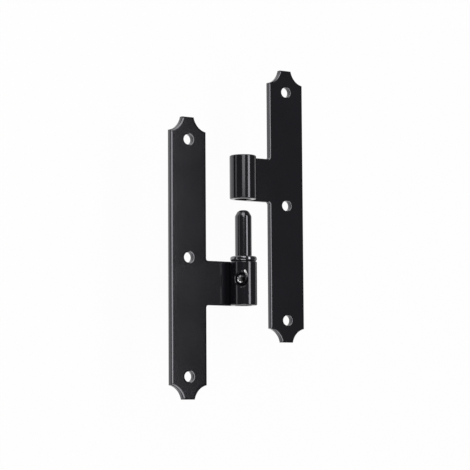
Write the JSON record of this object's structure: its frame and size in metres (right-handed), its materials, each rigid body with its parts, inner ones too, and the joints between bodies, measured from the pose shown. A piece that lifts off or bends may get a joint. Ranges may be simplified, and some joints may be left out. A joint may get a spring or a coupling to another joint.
{
  "type": "lift-off hinge",
  "caption": "Lift-off hinge of two rolled strap leaves with scalloped ends: one carries the pin, a thrust ring and a set screw, the other slides off the pin.",
  "frame": {"origin": "centre of the frame leaf's middle screw hole, on the mounting plane that the backs of both leaves share", "axes": "+X from the frame leaf to the door leaf, +Y along the pin in the direction the door leaf lifts off, +Z out of the front of the leaves"},
  "size_m": [0.0965, 0.2025, 0.0162],
  "materials": {
    "leaf_paint": "semi-gloss black",
    "pin_paint": "semi-gloss black",
    "ring_paint": "gloss black",
    "screw_steel": "blackened steel"
  },
  "bodies": {
    "frame": {"frame_leaf": "leaf_paint", "pivot_pin": "pin_paint", "set_screw": "screw_steel"},
    "ring": {"thrust_ring": "ring_paint"},
    "door": {"door_leaf": "leaf_paint"}
  },
  "joints": [
    {"name": "swing", "type": "hinge", "parent": "frame", "child": "ring", "pos_m": [0.03575, 0, 0.00808], "axis": [0, -1, 0], "range_deg": [-135, 180]},
    {"name": "lift", "type": "slide", "parent": "ring", "child": "door", "axis": [0, 1, 0], "range_m": [-0.0345, 0]}
  ]
}
